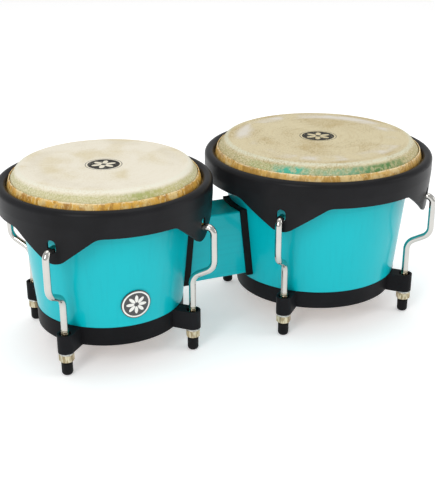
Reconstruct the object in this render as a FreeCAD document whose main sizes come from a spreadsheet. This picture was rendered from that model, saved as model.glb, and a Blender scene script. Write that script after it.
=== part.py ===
"""A pair of bongos: the small drum (macho) and the large drum (hembra) on one centre block.

Frame: +Z up, +X from the small drum to the large one, -Y towards the player.
The origin is under the middle of the pair, on the floor that the rod tips stand on.
Every length is in millimetres.
"""
import FreeCAD, Part
import math
import os
import re

import Sketcher
from FreeCAD import Placement, Rotation, Vector

# ---------------------------------------------------------------- driving dimensions

COMMON = {
    # the two drums together
    "axis_spacing": 220.9,
    "lug_azimuth": 45,
    "lug_count": 4,
    # heights that both drums share
    "bottom_ring_base": 23,
    "bottom_ring_top": 41,
    "shoulder_height": 125,
    "bearing_edge_height": 173.3,
    # shell
    "shell_wall": 9,
    "bearing_edge_round": 3,
    "spigot_depth": 4.5,
    "spigot_clearance": 0.05,
    # bottom ring and its lugs
    "ring_ledge": 3,
    "ring_flange_rise": 0.3,
    "lug_base": 23,
    "lug_half_width": 7.5,
    "lug_root_depth": 3.5,
    "lug_pocket_radius": 5.6,
    "lug_pocket_depth": 8,
    "lug_bore_radius": 3.5,
    # skin and the hoop that it is tucked round
    "skin_thickness": 1.2,
    "collar_end_height": 153,
    "collar_knee_height": 164.5,
    "collar_knee_inset": 1.1,
    "collar_clearance": 0.5,
    "hoop_wire_radius": 3.5,
    "hoop_height": 149.3,
    "tuck_thickness": 1,
    "tuck_edge_height": 166,
    "tuck_waist_height": 160,
    "tuck_root_height": 152.4,
    "tuck_inset": 1.1,
    "tuck_lean": 1.7,
    # rim
    "rim_sheet": 2,
    "rim_bead_radius": 4.9,
    "rim_bead_height": 157.4,
    "rim_knee_height": 147,
    "skirt_edge_height": 138.3,
    "ear_tip_height": 112.3,
    "ear_taper": 2.3,
    "ear_tip_round": 18,
    "valley_round": 14,
    "valley_overlap": 2,
    "ear_hole_half_width": 4.2,
    "ear_hole_length": 12,
    # tuning rods, of quarter-inch wire
    "rod_radius": 3.2,
    "rod_foot_height": 4,
    "rod_lower_bend_height": 68,
    "rod_bend_radius": 12,
    "rod_slope": 28,
    "rod_step": 21.8,
    "hook_height": 126,
    "hook_setback": 8.3,
    "hook_outer_bend": 6.3,
    "hook_inner_bend": 4.2,
    "hook_end_height": 118,
    # tuning nuts, washers and rubber tips
    "nut_radius": 7.1,
    "nut_hex_height": 6.7,
    "nut_collar_radius": 6.1,
    "nut_collar_height": 1,
    "nut_bore_radius": 3.25,
    "nut_corner_angle": 35,
    "nut_chamfer": 0.7,
    "nut_gap": 0.2,
    "washer_radius": 7.2,
    "washer_thickness": 1,
    "contact_gap": 0.05,
    "tip_radius": 5.2,
    "tip_height": 12.4,
    "tip_round": 3.2,
    # centre block
    "block_half_width": 20.5,
    "block_base": 48.5,
    "block_top": 115.2,
    "block_edge_round": 2,
    "gasket_thickness": 6.4,
    "gasket_overhang": 1.6,
    "block_bolt_radius": 3,
    "block_bore_clearance": 0.15,
    "block_bolt_low": 65,
    "block_bolt_high": 98,
    "block_washer_radius": 7,
    "block_washer_thickness": 1.6,
    "block_washer_standoff": 0.8,
    "bolt_head_radius": 5.8,
    "bolt_head_height": 4,
    "bolt_nut_height": 5,
    "bolt_tail": 3,
    "plug_radius": 3.6,
    "plug_stem_radius": 2.4,
    "plug_stem_length": 10,
    "plug_proud": 2.6,
    "plug_shift_across": 13,
    "plug_shift_forward": 12,
    # badge on the small drum
    "badge_radius": 14,
    "badge_thickness": 1.2,
    "badge_height": 63,
    "badge_azimuth": -88,
}

DRUMS = {
    "macho": {
        "head_radius": 79.1,
        "rim_radius": 99.3,
        "foot_radius": 69.9,
        "ring_base_radius": 69.8,
        "rod_circle": 86.3,
        "ear_slope": 37.5,
    },
    "hembra": {
        "head_radius": 92,
        "rim_radius": 112.9,
        "foot_radius": 82,
        "ring_base_radius": 79.7,
        "rod_circle": 96.3,
        "ear_slope": 34,
    },
}

LUG_QUADRANTS = {"front_left": 3, "front_right": 4, "back_right": 1, "back_left": 2}

doc = FreeCAD.newDocument("Bongos")
sheet = doc.addObject("Spreadsheet::Sheet", "Dims")


def fill_sheet():
    """Write each driving dimension as a plain number with a word for its alias."""
    rows = dict(COMMON)
    for drum, sizes in DRUMS.items():
        rows.update({f"{drum}_{word}": value for word, value in sizes.items()})
    for line, (alias, value) in enumerate(rows.items(), start=1):
        sheet.set(f"A{line}", alias)
        sheet.set(f"B{line}", str(value))
        sheet.setAlias(f"B{line}", alias)
    doc.recompute()


def size(alias):
    """A driving dimension as a number, read back from the sheet."""
    return float(sheet.get(alias))


def bound(text):
    """An expression in which each dimension's name refers to the sheet."""
    return re.sub(r"\w+", lambda word: f"Dims.{word[0]}" if word[0] in ALIASES else word[0], text)


fill_sheet()
ALIASES = set(COMMON) | {f"{drum}_{word}" for drum in DRUMS for word in DRUMS[drum]}

# ---------------------------------------------------------------- derived expressions

AXIS_X = {
    "macho": "( macho_rim_radius - hembra_rim_radius - axis_spacing ) / 2",
    "hembra": "( macho_rim_radius - hembra_rim_radius + axis_spacing ) / 2",
}
HEAD_TOP = "bearing_edge_height + skin_thickness"
PARTS = []


def bind(obj, prop, text):
    obj.setExpression(prop, bound(text))


def place(obj, at=("0", "0", "0"), turn=None):
    """Set a sub-part's placement: a fixed turn and a base bound to the sheet."""
    obj.Placement = Placement(Vector(), turn or Rotation())
    for axis, text in zip("xyz", at):
        bind(obj, f"Placement.Base.{axis}", text)


def keep(obj, label):
    """Register a finished sub-part under the name that its file will have."""
    obj.Label = label
    PARTS.append(obj)
    return obj


def new_body(label):
    body = doc.addObject("PartDesign::Body", label)
    return keep(body, label)


def origin_feature(body, role):
    return next(o for o in body.Origin.OriginFeatures if o.Role == role)


def new_sketch(body, name, plane, offset=None):
    sketch = body.newObject("Sketcher::SketchObject", name)
    sketch.AttachmentSupport = [(origin_feature(body, plane), "")]
    sketch.MapMode = "FlatFace"
    if offset:
        sketch.AttachmentOffset = offset
    return sketch


def fix_point(sketch, geometry, vertex, across, up):
    """Hold one vertex of a sketch at a bound distance from the sketch's origin."""
    for kind, text in (("DistanceX", across), ("DistanceY", up)):
        value = evaluate(text)
        if abs(value) < 1e-9:
            axis = -2 if kind == "DistanceX" else -1
            sketch.addConstraint(Sketcher.Constraint("PointOnObject", geometry, vertex, axis))
            continue
        row = sketch.addConstraint(Sketcher.Constraint(kind, -1, 1, geometry, vertex, value))
        name = f"{'across' if kind == 'DistanceX' else 'up'}_{geometry}_{vertex}"
        sketch.renameConstraint(row, name)
        bind(sketch, f"Constraints.{name}", text)


def evaluate(text):
    """The value of an expression of the sheet's dimensions."""
    return float(sheet.evalExpression(bound(text)))


def name_sizes(sketch, sizes):
    """Add named constraints to a sketch and bind each one to the sheet."""
    for name, what, text in sizes:
        row = sketch.addConstraint(Sketcher.Constraint(*what, evaluate(text)))
        sketch.renameConstraint(row, name)
        bind(sketch, f"Constraints.{name}", text)


def polygon(sketch, corners):
    """Draw a closed outline whose corners are bound to the sheet."""
    points = [Vector(evaluate(across), evaluate(up), 0) for across, up in corners]
    first = sketch.GeometryCount
    for here, there in zip(points, points[1:] + points[:1]):
        sketch.addGeometry(Part.LineSegment(here, there), False)
    count = len(points)
    for i in range(count):
        joint = Sketcher.Constraint("Coincident", first + i, 2, first + (i + 1) % count, 1)
        sketch.addConstraint(joint)
    for i, (across, up) in enumerate(corners):
        fix_point(sketch, first + i, 1, across, up)
    return sketch


def circle(sketch, across, up, radius):
    """Draw a circle with its centre and radius bound to the sheet."""
    centre = Vector(evaluate(across), evaluate(up), 0)
    ring = sketch.addGeometry(Part.Circle(centre, Vector(0, 0, 1), evaluate(radius)), False)
    fix_point(sketch, ring, 3, across, up)
    name_sizes(sketch, [(f"radius_{ring}", ("Radius", ring), radius)])


def revolve(body, name, corners):
    """Turn an outline drawn in the XZ plane about the body's Z axis."""
    sketch = polygon(new_sketch(body, f"{name}_outline", "XZ_Plane"), corners)
    turned = body.newObject("PartDesign::Revolution", name)
    turned.Profile = sketch
    turned.ReferenceAxis = (sketch, ["V_Axis"])
    turned.Angle = 360
    return turned


def torus(body, kind, name, ring, wire, up):
    """Add or subtract a torus about the body's Z axis."""
    shape = body.newObject(f"PartDesign::{kind}Torus", name)
    shape.AttachmentSupport = [(origin_feature(body, "XY_Plane"), "")]
    shape.MapMode = "FlatFace"
    bind(shape, "Radius1", ring)
    bind(shape, "Radius2", wire)
    bind(shape, "AttachmentOffset.Base.z", up)
    return shape


def pocket(body, name, sketch, length, reverse=False):
    """Cut a sketch into the body, and make sure that it removed something."""
    doc.recompute()
    before = body.Shape.Volume
    cut = body.newObject("PartDesign::Pocket", name)
    cut.Profile = sketch
    cut.Reversed = reverse
    bind(cut, "Length", length)
    doc.recompute()
    if cut.Shape.Volume > before - 1:
        raise RuntimeError(f"{body.Label}: {name} cut nothing")
    return cut


def polar(body, name, originals):
    """Repeat features at every lug, about the body's Z axis."""
    pattern = body.newObject("PartDesign::PolarPattern", name)
    pattern.Originals = originals
    pattern.Axis = (origin_feature(body, "Z_Axis"), [""])
    pattern.Angle = 360
    pattern.Occurrences = int(size("lug_count"))
    body.Tip = pattern
    doc.recompute()
    return pattern


def edges_at(shape, radius, height, tolerance=0.05):
    """Names of the round edges of a given radius at a given height."""
    names = []
    for number, edge in enumerate(shape.Edges, start=1):
        curve = edge.Curve
        if isinstance(curve, Part.Circle) and abs(curve.Radius - radius) < tolerance:
            if abs(curve.Center.z - height) < tolerance:
                names.append(f"Edge{number}")
    if not names:
        raise RuntimeError(f"no edge of radius {radius} at height {height}")
    return names


def dress(body, kind, name, base, places, amount):
    """Fillet or chamfer the round edges at the given (radius, height) places."""
    doc.recompute()
    names = []
    for radius, height in places:
        names += edges_at(base.Shape, evaluate(radius), evaluate(height))
    feature = body.newObject(f"PartDesign::{kind}", name)
    feature.Base = (base, names)
    bind(feature, "Radius" if kind == "Fillet" else "Size", amount)
    doc.recompute()
    return feature


def ear_turn():
    """A turn about the drum's axis that brings a sketch plane square to a lug."""
    return Placement(Vector(), Rotation(Vector(0, 1, 0), size("lug_azimuth")))


# ---------------------------------------------------------------- one drum


def shell_radius(drum, height):
    """The shell's outer radius at a height between the bottom ring and the shoulder."""
    rise = f"( {height} - bottom_ring_top ) / ( shoulder_height - bottom_ring_top )"
    top = f"( {drum}_head_radius - skin_thickness )"
    return f"( {drum}_foot_radius + ( {top} - {drum}_foot_radius ) * {rise} )"


def make_shell(drum):
    """The wooden shell: a cone that straightens at the shoulder, with a spigot below."""
    body = new_body(f"{drum}_shell")
    top = f"{drum}_head_radius - skin_thickness"
    spigot = f"{drum}_ring_base_radius - spigot_depth / 2 - spigot_clearance"
    foot = f"{drum}_foot_radius"
    seat = "bottom_ring_base + ring_ledge"
    turned = revolve(body, "staves", [
        (f"{foot} - shell_wall", seat),
        (spigot, seat),
        (spigot, "bottom_ring_top"),
        (foot, "bottom_ring_top"),
        (top, "shoulder_height"),
        (top, "bearing_edge_height"),
        (f"{top} - shell_wall", "bearing_edge_height"),
        (f"{top} - shell_wall", "shoulder_height"),
        (f"{foot} - shell_wall", "bottom_ring_top"),
    ])
    dress(body, "Fillet", "bearing_edge", turned, [(top, "bearing_edge_height")],
          "bearing_edge_round")
    sketch = new_sketch(body, "bolt_places", "YZ_Plane")
    for height in ("block_bolt_low", "block_bolt_high"):
        circle(sketch, "0", height, "block_bolt_radius + block_bore_clearance")
    pocket(body, "bolt_holes", sketch, f"{drum}_head_radius", reverse=drum == "macho")
    place(body, (AXIS_X[drum], "0", "0"))


def make_bottom_ring(drum):
    """The cast ring under the shell, with a ledge for it and four lugs for the rods."""
    body = new_body(f"{drum}_bottom_ring")
    inner = f"{drum}_ring_base_radius - spigot_depth / 2"
    revolve(body, "band", [
        (f"{drum}_foot_radius - shell_wall", "bottom_ring_base"),
        (f"{drum}_ring_base_radius", "bottom_ring_base"),
        (f"{drum}_foot_radius + ring_flange_rise", "bottom_ring_top - contact_gap"),
        (inner, "bottom_ring_top - contact_gap"),
        (inner, "bottom_ring_base + ring_ledge - contact_gap"),
        (f"{drum}_foot_radius - shell_wall", "bottom_ring_base + ring_ledge - contact_gap"),
    ])
    boss = make_lug_boss(body, drum)
    recess = make_lug_round_cut(body, drum, "rod_recess", "lug_pocket_radius",
                                "lug_pocket_depth")
    bore = make_lug_round_cut(body, drum, "rod_bore", "lug_bore_radius", "bottom_ring_top")
    polar(body, "four_lugs", [boss, recess, bore])
    place(body, (AXIS_X[drum], "0", "0"))


def make_lug_boss(body, drum):
    """One lug seen from above: straight sides and a round front about the rod."""
    turn = Rotation(Vector(0, 0, 1), size("lug_azimuth"))
    sketch = new_sketch(body, "lug_outline", "XY_Plane", Placement(Vector(), turn))
    bind(sketch, "AttachmentOffset.Base.z", "lug_base")
    root = f"{drum}_ring_base_radius - lug_root_depth / 2"
    half = size("lug_half_width")
    near = Vector(evaluate(root), 0, 0)
    far = Vector(size(f"{drum}_rod_circle"), 0, 0)
    side = Vector(0, half, 0)
    sketch.addGeometry(Part.LineSegment(near - side, far - side), False)
    front = Part.ArcOfCircle(Part.Circle(far, Vector(0, 0, 1), half), -math.pi / 2, math.pi / 2)
    sketch.addGeometry(front, False)
    sketch.addGeometry(Part.LineSegment(far + side, near + side), False)
    sketch.addGeometry(Part.LineSegment(near + side, near - side), False)
    for one, other in ((0, 1), (1, 2)):
        sketch.addConstraint(Sketcher.Constraint("Tangent", one, 2, other, 1))
    for one, other in ((2, 3), (3, 0)):
        sketch.addConstraint(Sketcher.Constraint("Coincident", one, 2, other, 1))
    sketch.addConstraint(Sketcher.Constraint("Horizontal", 0))
    sketch.addConstraint(Sketcher.Constraint("Vertical", 3))
    fix_point(sketch, 1, 3, f"{drum}_rod_circle", "0")
    name_sizes(sketch, [
        ("front_radius", ("Radius", 1), "lug_half_width"),
        ("root_distance", ("DistanceX", -1, 1, 3, 1), root),
    ])
    boss = body.newObject("PartDesign::Pad", "lug_boss")
    boss.Profile = sketch
    bind(boss, "Length", "bottom_ring_top - lug_base - contact_gap")
    doc.recompute()
    return boss


def make_lug_round_cut(body, drum, name, radius, depth):
    """Cut a round recess or bore down from the lug's top, about the rod."""
    turn = Rotation(Vector(0, 0, 1), size("lug_azimuth"))
    sketch = new_sketch(body, f"{name}_circle", "XY_Plane", Placement(Vector(), turn))
    bind(sketch, "AttachmentOffset.Base.z", "bottom_ring_top")
    circle(sketch, f"{drum}_rod_circle", "0", radius)
    return pocket(body, name, sketch, depth)


def make_skin(drum):
    """The hide over the bearing edge, down to the end of its collar inside the hoop."""
    body = new_body(f"{drum}_skin")
    crown = f"{drum}_head_radius"
    end = f"{hoop_ring(drum)} - hoop_wire_radius - tuck_thickness - collar_clearance"
    knee = f"{end} - collar_knee_inset"
    turned = revolve(body, "hide", [
        ("0", HEAD_TOP),
        (crown, HEAD_TOP),
        (knee, "collar_knee_height"),
        (end, "collar_end_height"),
        (f"{end} - skin_thickness", "collar_end_height"),
        (f"{knee} - skin_thickness", "collar_knee_height"),
        (f"{crown} - skin_thickness / 2", "bearing_edge_height"),
        ("0", "bearing_edge_height"),
    ])
    dress(body, "Fillet", "crown", turned, [(crown, HEAD_TOP)], "skin_thickness")
    place(body, (AXIS_X[drum], "0", "0"))


def hoop_ring(drum):
    """The radius of the flesh hoop's centre line, just inside the rim's bead."""
    return f"( {drum}_rim_radius - 2 * rim_bead_radius )"


def make_flesh_hoop(drum):
    """The round steel hoop that the skin's edge is tucked round."""
    hoop = doc.addObject("Part::Torus", f"{drum}_flesh_hoop")
    bind(hoop, "Radius1", hoop_ring(drum))
    bind(hoop, "Radius2", "hoop_wire_radius")
    place(hoop, (AXIS_X[drum], "0", "hoop_height"))
    keep(hoop, f"{drum}_flesh_hoop")


def make_skin_tuck(drum):
    """The hide's edge: wrapped round the hoop, with its cut edge standing up inside the rim."""
    body = new_body(f"{drum}_skin_tuck")
    waist = f"{hoop_ring(drum)} - tuck_inset"
    edge = f"{waist} - tuck_lean"
    torus(body, "Additive", "wrap", hoop_ring(drum), "hoop_wire_radius + tuck_thickness",
          "hoop_height")
    revolve(body, "standing_edge", [
        (waist, "tuck_root_height"),
        (waist, "tuck_waist_height"),
        (edge, "tuck_edge_height"),
        (f"{edge} - tuck_thickness", "tuck_edge_height"),
        (f"{waist} - tuck_thickness", "tuck_waist_height"),
        (f"{waist} - tuck_thickness", "tuck_root_height"),
    ])
    body.Tip = torus(body, "Subtractive", "hoop_space", hoop_ring(drum),
                     "hoop_wire_radius + contact_gap", "hoop_height")
    place(body, (AXIS_X[drum], "0", "0"))


def make_rim(drum):
    """The pressed steel rim: a bead on top, a skirt, and four ears with holes."""
    body = new_body(f"{drum}_rim")
    outer = f"{drum}_rim_radius"
    revolve(body, "skirt", [
        (f"{outer} - ear_taper", "ear_tip_height"),
        (outer, "rim_knee_height"),
        (outer, "rim_bead_height"),
        (f"{outer} - rim_sheet", "rim_bead_height"),
        (f"{outer} - rim_sheet", "rim_knee_height"),
        (f"{outer} - ear_taper - rim_sheet", "ear_tip_height"),
    ])
    torus(body, "Additive", "bead", f"{outer} - rim_bead_radius", "rim_bead_radius",
          "rim_bead_height")
    valleys = pocket(body, "valleys", draw_valleys(body, drum), outer, reverse=True)
    holes = pocket(body, "ear_holes", draw_ear_hole(body), outer, reverse=True)
    polar(body, "four_ears", [valleys, holes])
    place(body, (AXIS_X[drum], "0", "0"))


def draw_valleys(body, drum):
    """The skirt's edge about one ear: level, a hollow, a slope, the ear's round tip, and back."""
    sketch = new_sketch(body, "valley_outline", "XZ_Plane", ear_turn())
    skirt, tip = size("skirt_edge_height"), size("ear_tip_height")
    tip_round, hollow = size("ear_tip_round"), size("valley_round")
    slope = math.radians(size(f"{drum}_ear_slope"))
    far, below = evaluate(valley_reach(drum)), tip - size("ear_taper")
    centre = Vector(0, tip + tip_round, 0)
    foot = centre + Vector(math.sin(slope), -math.cos(slope), 0) * tip_round
    corner = foot + Vector(1 / math.tan(slope), 1, 0) * (skirt - foot.y)
    tangent = hollow * math.tan(slope / 2)
    head = corner - Vector(math.cos(slope), math.sin(slope), 0) * tangent
    level = corner + Vector(tangent, 0, 0)
    right_hollow = Part.Circle(level - Vector(0, hollow, 0), Vector(0, 0, 1), hollow)
    left_hollow = Part.Circle(mirrored(level) - Vector(0, hollow, 0), Vector(0, 0, 1), hollow)
    tip_circle = Part.Circle(centre, Vector(0, 0, 1), tip_round)
    quarter = math.pi / 2
    outline = [
        Part.LineSegment(Vector(-far, skirt, 0), mirrored(level)),
        Part.ArcOfCircle(left_hollow, quarter - slope, quarter),
        Part.LineSegment(mirrored(head), mirrored(foot)),
        Part.ArcOfCircle(tip_circle, -quarter - slope, slope - quarter),
        Part.LineSegment(foot, head),
        Part.ArcOfCircle(right_hollow, quarter, quarter + slope),
        Part.LineSegment(level, Vector(far, skirt, 0)),
        Part.LineSegment(Vector(far, skirt, 0), Vector(far, below, 0)),
        Part.LineSegment(Vector(far, below, 0), Vector(-far, below, 0)),
        Part.LineSegment(Vector(-far, below, 0), Vector(-far, skirt, 0)),
    ]
    for piece in outline:
        sketch.addGeometry(piece, False)
    # the hollows are drawn anticlockwise, so the outline passes through them end first
    for one, end, other, start in ((0, 2, 1, 2), (1, 1, 2, 1), (2, 2, 3, 1), (3, 2, 4, 1),
                                   (4, 2, 5, 2), (5, 1, 6, 1)):
        sketch.addConstraint(Sketcher.Constraint("Tangent", one, end, other, start))
    for one, other in ((6, 7), (7, 8), (8, 9), (9, 0)):
        sketch.addConstraint(Sketcher.Constraint("Coincident", one, 2, other, 1))
    for line, kind in ((6, "Horizontal"), (7, "Vertical"), (8, "Horizontal"), (9, "Vertical")):
        sketch.addConstraint(Sketcher.Constraint(kind, line))
    fix_point(sketch, 3, 3, "0", "ear_tip_height + ear_tip_round")
    fix_point(sketch, 0, 1, f"0 - {valley_reach(drum)}", "skirt_edge_height")
    fix_point(sketch, 8, 1, valley_reach(drum), "ear_tip_height - ear_taper")
    sizes = [
        ("tip_round", ("Radius", 3), "ear_tip_round"),
        ("left_hollow", ("Radius", 1), "valley_round"),
        ("right_hollow", ("Radius", 5), "valley_round"),
        ("right_level", ("DistanceY", -1, 1, 6, 2), "skirt_edge_height"),
    ]
    name_sizes(sketch, sizes)
    for name, line, angle in (("left_slope", 2, -slope), ("right_slope", 4, slope)):
        row = sketch.addConstraint(Sketcher.Constraint("Angle", line, angle))
        sketch.renameConstraint(row, name)
        sign = "-1" if angle < 0 else "1"
        bind(sketch, f"Constraints.{name}", f"{sign} * {drum}_ear_slope * 1 deg")
    return sketch


def mirrored(point):
    """The same point on the other side of an ear's middle line."""
    return Vector(-point.x, point.y, 0)


def valley_reach(drum):
    """How far from an ear's middle its valleys are cut: just past the neighbour's."""
    return f"{drum}_rim_radius * sin(( 180 / lug_count + valley_overlap ) * 1 deg)"


def draw_ear_hole(body):
    """The upright slot in an ear that a rod's hook passes through."""
    sketch = new_sketch(body, "hole_outline", "XZ_Plane", ear_turn())
    half = size("ear_hole_half_width")
    low = evaluate("hook_height - rod_radius - contact_gap + ear_hole_half_width")
    high = low + evaluate("ear_hole_length - 2 * ear_hole_half_width")
    bottom = Part.Circle(Vector(0, low, 0), Vector(0, 0, 1), half)
    top = Part.Circle(Vector(0, high, 0), Vector(0, 0, 1), half)
    sketch.addGeometry(Part.ArcOfCircle(bottom, math.pi, 2 * math.pi), False)
    sketch.addGeometry(Part.LineSegment(Vector(half, low, 0), Vector(half, high, 0)), False)
    sketch.addGeometry(Part.ArcOfCircle(top, 0, math.pi), False)
    sketch.addGeometry(Part.LineSegment(Vector(-half, high, 0), Vector(-half, low, 0)), False)
    for one in range(4):
        joint = Sketcher.Constraint("Tangent", one, 2, (one + 1) % 4, 1)
        sketch.addConstraint(joint)
    fix_point(sketch, 0, 3, "0", "hook_height - rod_radius - contact_gap + ear_hole_half_width")
    name_sizes(sketch, [
        ("half_width", ("Radius", 0), "ear_hole_half_width"),
        ("length_between_centres", ("DistanceY", 0, 3, 2, 3),
         "ear_hole_length - 2 * ear_hole_half_width"),
    ])
    sketch.addConstraint(Sketcher.Constraint("Vertical", 1))
    return sketch


def lug_angle(quadrant):
    """The azimuth of a lug, in degrees, from the number of its quadrant."""
    return {1: "lug_azimuth", 2: "180 - lug_azimuth", 3: "180 + lug_azimuth",
            4: "360 - lug_azimuth"}[quadrant]


def stand_at_lug(obj, drum, quadrant):
    """Place a sub-part modelled about a rod's lower leg, its X axis pointing outwards."""
    angle = lug_angle(quadrant)
    turn = Rotation(Vector(0, 0, 1), evaluate(angle))
    across = f"{AXIS_X[drum]} + {drum}_rod_circle * cos(({angle}) * 1 deg)"
    along = f"{drum}_rod_circle * sin(({angle}) * 1 deg)"
    place(obj, (across, along, "0"), turn)


def make_rod(drum, corner, quadrant):
    """A tuning rod: a threaded leg, a step outwards, an upper leg and a hook."""
    body = new_body(f"{drum}_rod_{corner}")
    path = draw_rod_path(body, drum)
    section = new_sketch(body, "rod_section", "XY_Plane")
    bind(section, "AttachmentOffset.Base.z", "rod_foot_height")
    circle(section, "0", "0", "rod_radius")
    doc.recompute()
    wire = body.newObject("PartDesign::AdditivePipe", "bent_wire")
    wire.Profile = section
    wire.Spine = path
    doc.recompute()
    length = path.Shape.Length
    expected = math.pi * size("rod_radius") ** 2 * length
    if abs(wire.Shape.Volume - expected) > 0.01 * expected:
        raise RuntimeError(f"{body.Label}: the bent wire has the wrong volume")
    stand_at_lug(body, drum, quadrant)


def hook_back(drum):
    """How far out from the rod's lower leg the hook's end hangs, behind the ear."""
    return f"{drum}_rim_radius - hook_setback - {drum}_rod_circle"


def draw_rod_path(body, drum):
    """The rod's centre line: five straight runs joined by four tangent arcs."""
    sketch = new_sketch(body, "rod_path", "XZ_Plane")
    step, bend = size("rod_step"), size("rod_bend_radius")
    slope = math.radians(size("rod_slope"))
    turn = math.pi / 2 - slope
    first = Vector(0, size("rod_lower_bend_height"), 0)
    rise = Vector(math.cos(slope), math.sin(slope), 0)
    corner = first + Vector(0, bend * math.tan(turn / 2), 0)
    other = corner + rise * (step / math.cos(slope))
    tangent = bend * math.tan(turn / 2)
    outer, inner = size("hook_outer_bend"), size("hook_inner_bend")
    top, back = size("hook_height"), evaluate(hook_back(drum))
    runs = [
        (Vector(0, size("rod_foot_height"), 0), first),
        (corner + rise * tangent, other - rise * tangent),
        (other + Vector(0, tangent, 0), Vector(step, top - outer, 0)),
        (Vector(step - outer, top, 0), Vector(back + inner, top, 0)),
        (Vector(back, top - inner, 0), Vector(back, size("hook_end_height"), 0)),
    ]
    centres = [Vector(bend, first.y, 0), Vector(step - bend, other.y + tangent, 0),
               Vector(step - outer, top - outer, 0), Vector(back + inner, top - inner, 0)]
    radii = [bend, bend, outer, inner]
    sweeps = [(math.pi / 2 + slope, math.pi), (slope - math.pi / 2, 0),
              (0, math.pi / 2), (math.pi / 2, math.pi)]
    for start, end in runs:
        sketch.addGeometry(Part.LineSegment(start, end), False)
    for centre, radius, (start, end) in zip(centres, radii, sweeps):
        ring = Part.Circle(centre, Vector(0, 0, 1), radius)
        sketch.addGeometry(Part.ArcOfCircle(ring, start, end), False)
    # an arc drawn clockwise along the rod meets the run before it at its own end
    for arc, (before, after) in zip(range(5, 9), ((2, 1), (1, 2), (1, 2), (1, 2))):
        run = arc - 5
        sketch.addConstraint(Sketcher.Constraint("Tangent", run, 2, arc, before))
        sketch.addConstraint(Sketcher.Constraint("Tangent", run + 1, 1, arc, after))
    name_rod_sizes(sketch, drum)
    return sketch


def name_rod_sizes(sketch, drum):
    """Bind the rod path's radii, heights and angle to the sheet."""
    fix_point(sketch, 0, 1, "0", "rod_foot_height")
    for run in (0, 2, 4):
        sketch.addConstraint(Sketcher.Constraint("Vertical", run))
    sketch.addConstraint(Sketcher.Constraint("Horizontal", 3))
    sizes = [
        ("lower_bend", ("DistanceY", -1, 1, 0, 2), "rod_lower_bend_height"),
        ("step", ("DistanceX", -1, 1, 2, 2), "rod_step"),
        ("hook_height", ("DistanceY", -1, 1, 3, 1), "hook_height"),
        ("hook_back", ("DistanceX", -1, 1, 4, 2), hook_back(drum)),
        ("hook_end", ("DistanceY", -1, 1, 4, 2), "hook_end_height"),
        ("first_bend_radius", ("Radius", 5), "rod_bend_radius"),
        ("second_bend_radius", ("Radius", 6), "rod_bend_radius"),
        ("hook_outer_radius", ("Radius", 7), "hook_outer_bend"),
        ("hook_inner_radius", ("Radius", 8), "hook_inner_bend"),
    ]
    name_sizes(sketch, sizes)
    slope = math.radians(size("rod_slope"))
    row = sketch.addConstraint(Sketcher.Constraint("Angle", 1, slope))
    sketch.renameConstraint(row, "slope")
    bind(sketch, "Constraints.slope", "rod_slope * 1 deg")


def nut_top():
    """The height of a tuning nut's bearing face, just below the washer."""
    return "lug_base - contact_gap - washer_thickness - nut_gap"


def make_tuning_nut(drum, corner, quadrant):
    """A tuning nut: a round collar that bears on the washer, and a hexagon below it."""
    body = new_body(f"{drum}_nut_{corner}")
    hexagon = body.newObject("PartDesign::AdditivePrism", "hexagon")
    hexagon.AttachmentSupport = [(origin_feature(body, "XY_Plane"), "")]
    hexagon.MapMode = "FlatFace"
    hexagon.Polygon = 6
    bind(hexagon, "Circumradius", "nut_radius")
    bind(hexagon, "Height", "nut_hex_height")
    base = f"{nut_top()} - nut_collar_height - nut_hex_height"
    bind(hexagon, "AttachmentOffset.Base.z", base)
    collar = body.newObject("PartDesign::AdditiveCylinder", "collar")
    collar.AttachmentSupport = [(origin_feature(body, "XY_Plane"), "")]
    collar.MapMode = "FlatFace"
    bind(collar, "Radius", "nut_collar_radius")
    bind(collar, "Height", "nut_collar_height")
    bind(collar, "AttachmentOffset.Base.z", f"{nut_top()} - nut_collar_height")
    sketch = new_sketch(body, "thread_circle", "XY_Plane")
    bind(sketch, "AttachmentOffset.Base.z", nut_top())
    circle(sketch, "0", "0", "nut_bore_radius")
    bore = pocket(body, "thread_bore", sketch, "nut_hex_height + nut_collar_height")
    edges = [("nut_collar_radius", nut_top()), ("nut_bore_radius", base)]
    dress(body, "Chamfer", "lead_in", bore, edges, "nut_chamfer")
    round_nut_corners(body, base)
    stand_at_lug(body, drum, quadrant)


def round_nut_corners(body, base):
    """Turn the corners off the nut's lower face, as on any hexagon nut."""
    flat = "nut_radius * cos(30 deg)"
    outside = "nut_radius + nut_chamfer"
    rise = f"( {outside} - {flat} ) * tan(nut_corner_angle * 1 deg)"
    sketch = polygon(new_sketch(body, "corner_outline", "XZ_Plane"), [
        (flat, base),
        (outside, f"{base} + {rise}"),
        (outside, f"{base} - nut_chamfer"),
        (flat, f"{base} - nut_chamfer"),
    ])
    doc.recompute()
    before = body.Shape.Volume
    groove = body.newObject("PartDesign::Groove", "corner_taper")
    groove.Profile = sketch
    groove.ReferenceAxis = (sketch, ["V_Axis"])
    groove.Angle = 360
    body.Tip = groove
    doc.recompute()
    if groove.Shape.Volume > before - 1:
        raise RuntimeError(f"{body.Label}: the corner taper cut nothing")


def make_tip(drum, corner, quadrant):
    """A rubber tip pushed onto a rod's end: the foot that the drum stands on."""
    body = new_body(f"{drum}_tip_{corner}")
    turned = revolve(body, "cap", [
        ("0", "0"),
        ("tip_radius", "0"),
        ("tip_radius", "tip_height"),
        ("rod_radius + contact_gap", "tip_height"),
        ("rod_radius + contact_gap", "rod_foot_height - contact_gap"),
        ("0", "rod_foot_height - contact_gap"),
    ])
    body.Tip = dress(body, "Fillet", "round_end", turned, [("tip_radius", "0")], "tip_round")
    stand_at_lug(body, drum, quadrant)


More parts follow.
